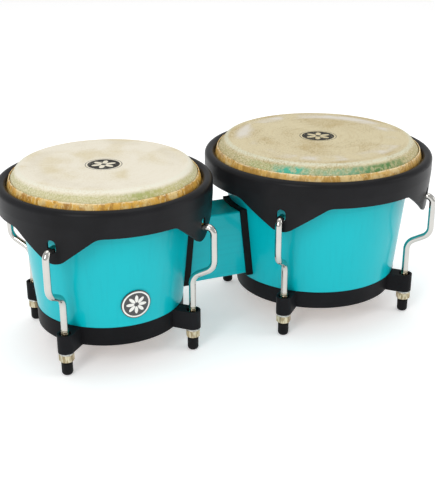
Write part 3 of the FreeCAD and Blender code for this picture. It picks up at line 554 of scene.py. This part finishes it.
# %% Write the rawhide recipe
def rawhide_recipe():
    recipe = Recipe("rawhide")
    axis = recipe.wanted("Axis")
    segments = recipe.wanted("Segments", "Int")
    stations = recipe.wanted("Stations", "Int")
    depth = recipe.wanted("Fold Depth")
    density = recipe.wanted("Fold Density")
    fold_low = recipe.wanted("Fold Low")
    fold_high = recipe.wanted("Fold High")
    ripple = recipe.wanted("Edge Ripple")
    ripple_low = recipe.wanted("Ripple Low")
    ripple_high = recipe.wanted("Ripple High")
    seed = recipe.wanted("Seed")
    grid = recipe.node("GeometryNodeMeshGrid", None, {
        "Size X": 1.0, "Size Y": 1.0, "Vertices X": segments, "Vertices Y": stations})
    u, v, _ = recipe.split(recipe.node("GeometryNodeInputPosition"))
    profile = recipe.node("GeometryNodeMeshToCurve", None, {"Mesh": recipe.start})
    point = recipe.node("GeometryNodeSampleCurve", {"mode": "FACTOR"},
                        {"Curves": profile, "Factor": v + 0.5}, out="Position")
    radius, _, height = recipe.split(point)
    azimuth = (u + 0.5) * math.tau
    cosine, sine = azimuth.math("COSINE"), azimuth.math("SINE")
    around = recipe.join(cosine * density, sine * density, height * 30 + seed)
    folded = height.rise(fold_low, fold_low + 3 * MM) * (1 - height.rise(fold_high, fold_high + 4 * MM))
    fold = (recipe.noise(around, 1, detail=2) - 0.5) * 2 * depth * folded
    slow = recipe.join(cosine * density * 0.18, sine * density * 0.18, seed)
    lift = (recipe.noise(slow, 1, detail=3) - 0.5) * 2 * ripple * height.rise(ripple_low, ripple_high)
    reach = radius + fold
    place = recipe.join(axis + reach * cosine, reach * sine, height + lift)
    turned = recipe.node("GeometryNodeSetPosition", None, {"Geometry": grid, "Position": place})
    return recipe.serve(turned)


RAWHIDE = rawhide_recipe()
print("rawhide recipe has", len(RAWHIDE.nodes), "nodes")


# %% Draw a profile
def profile_mesh(name, corners, closed=False):
    """A chain of edges in the XZ plane through (radius, height) points in metres."""
    mesh = bpy.data.meshes.new(name)
    count = len(corners)
    edges = [(i, i + 1) for i in range(count - 1)]
    if closed:
        edges.append((count - 1, 0))
    mesh.from_pydata([(radius, 0, height) for radius, height in corners], edges, [])
    return mesh


def eased(start, corner, end, steps=8):
    """Points on a smooth bend that leaves start and arrives at end, aiming at corner."""
    points = []
    for i in range(steps + 1):
        t = i / steps
        shares = ((1 - t) ** 2, 2 * t * (1 - t), t * t)
        points.append(tuple(sum(w * p[k] for w, p in zip(shares, (start, corner, end)))
                            for k in (0, 1)))
    return points


# %% [markdown]
# ## The hides
# The upper hide is flat over the shell, bends over the bearing edge and runs down inside the
# flesh hoop. It is about 1.2 mm thick. It replaces the plain CAD solid, which stays in the
# physics model.

# %% Shape the hides
HIDE = 1.2 * MM
COLLAR_END = 153 * MM
COLLAR_BULGE = 1.9 * MM
COLLAR_KNEE = 0.6 * MM
HEM = 0.3 * MM
EDGE_HEIGHT = 165.5 * MM
WAIST_HEIGHT = 159.5 * MM
CROWN_BEND = 4.2 * MM


def hide_profile(sizes):
    """The hide in section, from the axis out over the crown, down, and back inside."""
    top, end = sizes["top"], sizes["collar"]
    crown = sizes["shell"] + HIDE
    knee = end + COLLAR_KNEE
    slope = Vector((knee - crown, EDGE_HEIGHT - top)).normalized()
    corner, bend = Vector((crown, top)), CROWN_BEND
    outer = eased((crown - bend, top), corner, corner + slope * bend)
    inward = Vector((slope.y, -slope.x)) * HIDE
    lower = Vector((knee, EDGE_HEIGHT))
    waist = Vector((end + COLLAR_BULGE, WAIST_HEIGHT))
    inner = [(r + (inward.x if r > crown - bend else 0), z - HIDE * (1 - 0.4 * i / 8))
             for i, (r, z) in enumerate(outer)]
    return [
        (0, top), *outer, tuple(lower), tuple(waist), (end + HEM, COLLAR_END),
        (end - HIDE, COLLAR_END), (waist.x - HIDE, waist.y), tuple(lower + inward),
        *reversed(inner), (0, top - HIDE),
    ]


def make_hide(drum, seed, material):
    """The upper hide of one drum, in place of its CAD solid."""
    sizes = SIZES[drum]
    profile = profile_mesh(f"{drum}_hide_profile", hide_profile(sizes))
    piece = grow(f"{drum}_hide", RAWHIDE, {
        "Axis": sizes["axis"], "Segments": 289, "Stations": 200, "Fold Depth": 0.35 * MM,
        "Fold Density": 9.0, "Fold Low": COLLAR_END - 10 * MM, "Fold High": 168 * MM,
        "Edge Ripple": 0.12 * MM, "Ripple Low": 172 * MM, "Ripple High": 174 * MM,
        "Seed": seed, "Material": material,
    }, profile)
    tidy_faces(piece, crease=50)
    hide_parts(f"{drum}_skin")
    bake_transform(piece)
    return piece


# %% [markdown]
# ## The hides' colour
# Rawhide is cloudy: cream where it is thin, tan where fat or hair roots stayed, and paler in a
# thin band along the top of the crown. The larger hide is darker and speckled. Both collars took
# a little green dye near the front. A rosette in a ring is stamped in black at the centre.


# %% Paint a soft patch on a collar
def patch(azimuth, towards, width):
    """1 at an azimuth in degrees, fading to 0 at half the width to either side."""
    off = (azimuth - math.radians(towards)).math("COSINE")
    return off.rise(math.cos(math.radians(width / 2)), 1)


def rosette(finish, drum, radius, shift, petals=6):
    """How much ink is here: a thin ring, and a disc with a flower left clear in it."""
    across = finish.x - SIZES[drum]["axis"] - shift[0]
    along = finish.y - shift[1]
    distance = (across * across + along * along).math("SQRT") / radius
    azimuth = along.math("ARCTAN2", across)
    ring = distance.rise(0.955, 0.97) * (1 - distance.rise(0.99, 1.005))
    disc = 1 - distance.rise(0.86, 0.875)
    lobe = abs((azimuth * (petals / 2)).math("COSINE")) * 0.52 + 0.16
    flower = (lobe - distance).rise(0, 0.03) * distance.rise(0.13, 0.16)
    worn = finish.noise(finish.place, 700, detail=3).rise(0.25, 0.42)
    inked = (ring + disc * (1 - flower)).math("MINIMUM", 1.0)
    return inked * worn


# %% Mix the hides' finish
LOOKS = {
    "macho": {
        "pale": paint(236, 229, 211), "tan": paint(222, 210, 178), "crown": paint(232, 230, 212),
        "collar": paint(212, 206, 166), "moss": paint(166, 164, 112), "speck": paint(196, 184, 150),
        "speckle": 0.3, "arcs": 0.16, "haze": 0.3,
        "stamp": 17 * MM, "shift": (-2 * MM, -5 * MM),
        "stains": [(-84, 34, paint(150, 160, 78), 0.75), (-60, 50, paint(186, 178, 110), 0.6),
                   (-120, 90, paint(196, 190, 140), 0.4)],
    },
    "hembra": {
        "pale": paint(216, 203, 166), "tan": paint(196, 176, 130), "crown": paint(216, 216, 192),
        "collar": paint(206, 194, 150), "moss": paint(128, 132, 82), "speck": paint(142, 124, 80),
        "speckle": 0.6, "arcs": 0.45, "haze": 0.8,
        "stamp": 18.4 * MM, "shift": (0, 0),
        "stains": [(-133, 26, paint(60, 176, 150), 0.95), (-82, 52, paint(70, 124, 66), 0.9),
                   (-106, 40, paint(104, 166, 136), 0.65), (-152, 20, paint(150, 178, 120), 0.45)],
    },
}


def hide_finish(drum):
    sizes, look = SIZES[drum], LOOKS[drum]
    finish = Finish(f"{drum}_hide", specular_ior_level=0.2)
    distance, azimuth = about_axis(finish, drum)
    share = distance / (sizes["shell"] + HIDE)
    blotch = finish.noise(finish.place, 26, detail=4, rough=0.55, distortion=0.4)
    fibre = finish.noise(finish.place, 900, detail=3)
    grain = finish.noise(finish.place, 700, detail=3, rough=0.65)
    round_the_drum = finish.join(distance * 260, azimuth.math("COSINE") * 1.2,
                                 azimuth.math("SINE") * 1.2)
    arcs = finish.noise(round_the_drum, 1, detail=4, rough=0.6)
    hide = finish.mix(blotch.rise(0.42, 0.72), look["pale"], look["tan"])
    hide = finish.mix(arcs.rise(0.48, 0.72) * look["arcs"], hide, look["tan"])
    hide = finish.mix(grain.rise(0.5, 0.62) * blotch.rise(0.2, 0.6) * look["speckle"], hide,
                      look["speck"])
    hide = finish.mix((1 - grain.rise(0.38, 0.46)) * look["speckle"] * 0.6, hide, look["crown"])
    hide = finish.mix(fibre.rise(0.56, 0.7) * look["speckle"] * 0.5, hide, look["tan"])
    haze = share.rise(0.68, 0.8) * (1 - share.rise(0.84, 0.93)) * blotch.rise(0.4, 0.62)
    hide = finish.mix(haze * look["haze"], hide, paint(226, 222, 214))
    # Paler in a thin band along the top of the crown.
    on_crown = share.rise(0.955, 0.985) * finish.z.rise(171.5 * MM, 173.5 * MM)
    hide = finish.mix(on_crown * (1 - grain.rise(0.4, 0.62) * 0.7), hide, look["crown"])
    below = 1 - finish.z.rise(169.5 * MM, 172.8 * MM)
    collar = finish.mix(arcs.rise(0.4, 0.7) * 0.5, look["collar"], look["tan"])
    collar = finish.mix(grain.rise(0.47, 0.62) * 0.6, collar, look["moss"])
    collar = finish.mix((1 - grain.rise(0.36, 0.46)) * 0.6, collar, look["crown"])
    mottle = 0.4 + finish.noise(finish.place, 240, detail=4).rise(0.38, 0.6) * 0.6
    for towards, width, dye, strength in look["stains"]:
        share_of_dye = patch(azimuth, towards, width) * mottle * strength
        collar = finish.mix(share_of_dye, collar, dye)
    hide = finish.mix(below, hide, collar)
    ink = rosette(finish, drum, look["stamp"], look["shift"]) * finish.z.rise(170 * MM, 171 * MM)
    return finish.surface(
        base_color=finish.mix(ink * 0.98, hide, (0.006, 0.0055, 0.0055, 1)),
        roughness=0.5 + blotch * 0.16,
        normal=finish.bump(fibre * 0.5 + arcs * 0.5 + blotch, 0.12 * MM),
    )


for seed, drum in enumerate(DRUMS):
    make_hide(drum, 3.7 + 5 * seed, hide_finish(drum))

# %% [markdown]
# ## The tucked edges
# Below the collar the hide is wrapped round a steel hoop and its cut edge stands up inside the
# rim. That edge is thick, amber and pleated, because the circle of hide has to gather as it
# folds. It moves with the hoop, so it rides on the tension set.

# %% Shape the tucked edges
WRAP = 4.5 * MM
HOOP_HEIGHT = 149.3 * MM
TUCK = 1.0 * MM
TUCK_WAIST = 160 * MM
WAIST_INSET = 1.1 * MM
EDGE_LEAN = 1.7 * MM
LOOP_START = math.radians(98)
LOOP_SWEEP = math.radians(-328)
LOOP_STEPS = 30


def tuck_profile(sizes):
    """The tuck in section: a loop round the hoop and the edge that stands on it."""
    ring = sizes["wrap"] - WRAP
    waist, top = ring - WAIST_INSET, sizes["edge_top"]
    edge = waist - EDGE_LEAN
    loop = []
    for i in range(LOOP_STEPS + 1):
        angle = LOOP_START + LOOP_SWEEP * i / LOOP_STEPS
        loop.append((ring + WRAP * math.cos(angle), HOOP_HEIGHT + WRAP * math.sin(angle)))
    standing = [(waist - TUCK, TUCK_WAIST), (edge - TUCK, top - 0.4 * MM), (edge - 0.7 * TUCK, top),
                (edge - 0.3 * TUCK, top), (edge, top - 0.4 * MM), (waist, TUCK_WAIST)]
    return loop + standing


def make_tuck(drum, depth, density, seed, material):
    sizes = SIZES[drum]
    profile = profile_mesh(f"{drum}_tuck_profile", tuck_profile(sizes), closed=True)
    piece = grow(f"{drum}_hide_edge", RAWHIDE, {
        "Axis": sizes["axis"], "Segments": 577, "Stations": 72, "Fold Depth": depth,
        "Fold Density": density, "Fold Low": 153 * MM, "Fold High": 200 * MM,
        "Edge Ripple": 1.1 * MM, "Ripple Low": 158 * MM, "Ripple High": 165 * MM,
        "Seed": seed, "Material": material,
    }, profile)
    tidy_faces(piece, crease=60)
    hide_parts(f"{drum}_skin_tuck")
    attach(piece, f"{drum}_tension_set")
    return piece


# %% Mix the tucked edges' finish
AMBERS = {
    "macho": (paint(238, 184, 72), paint(170, 114, 26), paint(252, 228, 160), 0.75),
    "hembra": (paint(230, 184, 94), paint(172, 126, 42), paint(248, 224, 164), 0.6),
}


def tuck_finish(drum):
    amber, dark, light, contrast = AMBERS[drum]
    finish = Finish(f"{drum}_hide_edge", specular_ior_level=0.5, coat_weight=0.25,
                    coat_roughness=0.25)
    top = SIZES[drum]["edge_top"]
    upright = finish.stretch(finish.place, 1, 1, 0.12)
    pleats = finish.noise(upright, 190, detail=4, rough=0.6)
    streaks = finish.noise(upright, 520, detail=3, rough=0.6)
    broad = finish.noise(finish.place, 42, detail=3, rough=0.6)
    flecks = finish.noise(finish.place, 300, detail=4, rough=0.7)
    hide = finish.mix(pleats.rise(0.46, 0.62) * contrast, amber, dark)
    hide = finish.mix(broad.rise(0.5, 0.62) * 0.55, hide, dark)
    hide = finish.mix((1 - broad.rise(0.4, 0.48)) * 0.6, hide, light)
    hide = finish.mix(streaks.rise(0.55, 0.66) * contrast, hide, light)
    hide = finish.mix(flecks.rise(0.54, 0.64) * 0.6, hide, dark)
    cut = finish.z.rise(top - 1.6 * MM, top - 0.4 * MM) * (1 - flecks.rise(0.42, 0.58))
    hide = finish.mix(cut * 0.8, hide, paint(244, 230, 190))
    return finish.surface(
        base_color=hide,
        roughness=0.36 + pleats * 0.2,
        normal=finish.bump(pleats + streaks * 0.4, 0.3 * MM),
    )


make_tuck("macho", depth=0.55 * MM, density=22.0, seed=1.3, material=tuck_finish("macho"))
make_tuck("hembra", depth=0.4 * MM, density=17.0, seed=8.1, material=tuck_finish("hembra"))

# %% [markdown]
# ## Rolled threads on the rods
# A tuning rod is threaded where it passes the lug, twenty turns to the inch. A thread is a
# spiral, so a recipe draws one spiral ridge, sets four of them at the corners of a square, and
# that is a drum's whole set. Only the part above the nut is made, since the nut and the tip hide
# nearly all of the rest.


# %% Write the thread recipe
def thread_recipe():
    recipe = Recipe("rod_threads")
    axis = recipe.wanted("Axis")
    across = recipe.wanted("Lug Across")
    pitch = recipe.wanted("Pitch")
    turns = recipe.wanted("Turns")
    radius = recipe.wanted("Rod Radius")
    ridge = recipe.wanted("Ridge")
    base = recipe.wanted("Base Height")
    spiral = recipe.node("GeometryNodeCurveSpiral", None, {
        "Resolution": 18, "Rotations": turns, "Start Radius": radius, "End Radius": radius,
        "Height": turns * pitch})
    crest = recipe.node("GeometryNodeCurvePrimitiveCircle", None,
                        {"Resolution": 4, "Radius": ridge})
    thread = recipe.node("GeometryNodeCurveToMesh", None,
                         {"Curve": spiral, "Profile Curve": crest, "Fill Caps": True})
    corners = recipe.node("GeometryNodeMeshCircle", None,
                          {"Vertices": 4, "Radius": across * math.sqrt(2)})
    turned = recipe.node("GeometryNodeTransform", None, {
        "Geometry": corners, "Translation": recipe.join(axis, 0.0, base),
        "Rotation": (0, 0, math.pi / 4)})
    placed = recipe.node("GeometryNodeInstanceOnPoints", None,
                         {"Points": turned, "Instance": thread})
    return recipe.serve(placed)


THREAD = thread_recipe()
for drum in DRUMS:
    threads = grow(f"{drum}_rod_threads", THREAD, {
        "Axis": SIZES[drum]["axis"], "Lug Across": SIZES[drum]["lug_across"], "Pitch": 1.27 * MM,
        "Turns": 14.0, "Rod Radius": 3.12 * MM, "Ridge": 0.3 * MM,
        "Base Height": SIZES[drum]["nut_top"] + 7 * MM, "Material": chrome,
    })
    tidy_faces(threads, crease=70)
    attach(threads, f"{drum}_tension_set")

# %% [markdown]
# ## The badge
# The small drum carries a round badge of black enamel, bent to the shell, with a raised white
# ring and emblem. The recipe lays a ring and a rosette of petals out flat, then wraps them round
# the cone: the distance across becomes an angle, and the thickness is added to the radius.

# %% Write the badge recipe
BADGE_LOW, BADGE_HIGH = (Vector(corner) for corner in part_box("badge"))
BADGE_HEIGHT = (BADGE_LOW.z + BADGE_HIGH.z) / 2
BADGE_RADIUS = (BADGE_HIGH.z - BADGE_LOW.z) / 2
BADGE_AZIMUTH = math.radians(-88)
BADGE_THICKNESS = 1.2 * MM
PETAL_WIDTH = 0.42
PETAL_START = 1.55


def badge_recipe():
    recipe = Recipe("badge_emblem")
    axis = recipe.wanted("Axis")
    foot = recipe.wanted("Foot Radius")
    shell = recipe.wanted("Shell Radius")
    petals = recipe.wanted("Petals", "Int")
    length = recipe.wanted("Petal Length")
    ring_radius = recipe.wanted("Ring Radius")
    ring_width = recipe.wanted("Ring Width")
    rise = recipe.wanted("Relief")
    blade = recipe.node("GeometryNodeCurvePrimitiveCircle", None, {"Resolution": 24, "Radius": 1.0})
    half = length * 0.5
    blade = recipe.node("GeometryNodeTransform", None, {
        "Geometry": blade, "Scale": recipe.join(half, half * PETAL_WIDTH, 1.0),
        "Translation": recipe.join(half * PETAL_START, 0.0, 0.0)})
    spots = recipe.node("GeometryNodeMeshCircle", None, {"Vertices": petals, "Radius": 0.0001})
    index = recipe.node("GeometryNodeInputIndex")
    spin = recipe.join(0.0, 0.0, index * math.tau / petals + math.pi / 2)
    flower = recipe.node("GeometryNodeInstanceOnPoints", None, {
        "Points": spots, "Instance": blade, "Rotation": spin})
    rims = []
    for sign in (-0.5, 0.5):
        edge = recipe.node("GeometryNodeCurvePrimitiveCircle", None,
                           {"Resolution": 96, "Radius": ring_radius + ring_width * sign})
        rims.append(edge)
    lines = recipe.node("GeometryNodeJoinGeometry")
    for piece in (flower, *rims):
        recipe.links.new(piece.output, lines.output.node.inputs[0])
    real = recipe.node("GeometryNodeRealizeInstances", None, {"Geometry": lines})
    filled = recipe.node("GeometryNodeFillCurve", {"mode": "TRIANGLES"}, {"Curve": real})
    solid = recipe.node("GeometryNodeExtrudeMesh", None, {
        "Mesh": filled, "Offset Scale": rise, "Individual": False})
    both = recipe.node("GeometryNodeJoinGeometry")
    flipped = recipe.node("GeometryNodeFlipFaces", None, {"Mesh": filled})
    for piece in (solid, flipped):
        recipe.links.new(piece.output, both.output.node.inputs[0])
    u, v, lift = recipe.split(recipe.node("GeometryNodeInputPosition"))
    height = v + BADGE_HEIGHT
    cone = height.slide(RING_TOP, SHOULDER, foot, shell)
    azimuth = u / cone + BADGE_AZIMUTH
    reach = cone + lift + BADGE_THICKNESS - 0.1 * MM
    place = recipe.join(axis + reach * azimuth.math("COSINE"), reach * azimuth.math("SINE"), height)
    wrapped = recipe.node("GeometryNodeSetPosition", None, {"Geometry": both, "Position": place})
    return recipe.serve(wrapped)


# %% Finish the badge
def badge_finishes():
    """Black enamel for the plate and ivory enamel for the raised lines."""
    plate = Finish("badge_plate", coat_weight=1.0, coat_roughness=0.08)
    cloud = plate.noise(plate.place, 400, detail=3)
    black = plate.mix(cloud, (0.010, 0.010, 0.011, 1), (0.019, 0.019, 0.021, 1))
    plate.surface(base_color=black, roughness=0.3 + cloud * 0.12,
                  normal=plate.bump(cloud, 0.015 * MM, plate.soft_edge(0.5 * MM)))
    ivory = Finish("badge_ivory", coat_weight=0.6, coat_roughness=0.15)
    grime = ivory.noise(ivory.place, 900, detail=4).rise(0.5, 0.75)
    ivory.surface(base_color=ivory.mix(grime * 0.3, paint(238, 238, 232), paint(176, 174, 164)),
                  roughness=0.32 + grime * 0.2, normal=ivory.bump(grime, 0.02 * MM))
    return plate.material, ivory.material


badge_plate, badge_ivory = badge_finishes()
dress("badge", badge_plate)
emblem = grow("badge_emblem", badge_recipe(), {
    "Axis": SIZES["macho"]["axis"], "Foot Radius": SIZES["macho"]["foot"],
    "Shell Radius": SIZES["macho"]["shell"], "Petals": 8, "Petal Length": 0.52 * BADGE_RADIUS,
    "Ring Radius": 0.88 * BADGE_RADIUS, "Ring Width": 0.1 * BADGE_RADIUS, "Relief": 0.45 * MM,
    "Material": badge_ivory,
})
tidy_faces(emblem, crease=30)
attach(emblem, "drums")

# %% [markdown]
# ## Floor, light and camera
# The drums stand on a plain white floor that runs out of sight. One large soft light from the
# left gives the broad band down each shell, a wide one overhead lights the hides and the rims'
# beads, and a dim one on the right keeps the shadow side open.


# %% Lay the floor
def pale_floor():
    finish = Finish("pale_floor", emission_color=(1, 1, 1, 1), emission_strength=0.34)
    cloud = finish.noise(finish.place, 3, detail=2)
    finish.surface(base_color=finish.mix(cloud, (0.93, 0.93, 0.93, 1), (0.95, 0.95, 0.95, 1)),
                   roughness=0.75 + cloud * 0.1)
    mesh = bpy.data.meshes.new("floor")
    reach = 14.0
    corners = [(-reach, -reach, 0), (reach, -reach, 0), (reach, reach, 0), (-reach, reach, 0)]
    mesh.from_pydata(corners, [], [(0, 1, 2, 3)])
    mesh.materials.append(finish.material)
    floor = bpy.data.objects.new("floor", mesh)
    bpy.context.collection.objects.link(floor)


pale_floor()


# %% Hang the lights
def soft_light(name, place, width, height, power, aim=(0, 0, 0.08)):
    """A rectangular soft box that faces a point."""
    lamp = bpy.data.lights.new(name, "AREA")
    lamp.shape = "RECTANGLE"
    lamp.size, lamp.size_y, lamp.energy = width, height, power
    holder = bpy.data.objects.new(name, lamp)
    holder.location = place
    holder.rotation_euler = (Vector(aim) - Vector(place)).to_track_quat("-Z", "Y").to_euler()
    bpy.context.collection.objects.link(holder)


soft_light("key_left", (-1.5, -1.3, 1.3), width=0.6, height=1.3, power=14)
soft_light("overhead", (0.1, 0.2, 1.9), width=1.8, height=1.5, power=11)
soft_light("fill_right", (1.7, -1.0, 0.8), width=0.5, height=1.0, power=4)


def studio_walls(seen, given):
    """White walls: as bright as seen to the eye, and giving off less light than that."""
    world = bpy.data.worlds.new("studio")
    world.use_nodes = True
    walls = Tree(world.node_tree)
    eye = walls.node("ShaderNodeLightPath", out="Is Camera Ray")
    walls.feed(walls.nodes["Background"].inputs["Color"], (1, 1, 1, 1))
    walls.feed(walls.nodes["Background"].inputs["Strength"], eye * (seen - given) + given)
    bpy.context.scene.world = world


studio_walls(seen=1.0, given=0.6)
bpy.context.scene.view_settings.view_transform = "Standard"

# %% Set up the camera
FRAME_WIDTH = 435
FOCAL = 964.997
LEFT_OF_MACHO, IN_FRONT, EYE_HEIGHT = 0.232158, 0.817044, 0.441617
PITCH, ROLL, YAW = 0.395, 0.002, 0.3996
camera = bpy.data.cameras.new("camera")
camera.sensor_fit = "HORIZONTAL"
camera.sensor_width = 36
camera.lens = FOCAL / FRAME_WIDTH * camera.sensor_width
camera.clip_end = 60
viewer = bpy.data.objects.new("camera", camera)
viewer.location = (SIZES["macho"]["axis"] - LEFT_OF_MACHO, -IN_FRONT, EYE_HEIGHT)
viewer.rotation_euler = (math.pi / 2 - PITCH, ROLL, -YAW)
bpy.context.collection.objects.link(viewer)
bpy.context.scene.camera = viewer
print(f"camera lens {camera.lens:.1f} mm")
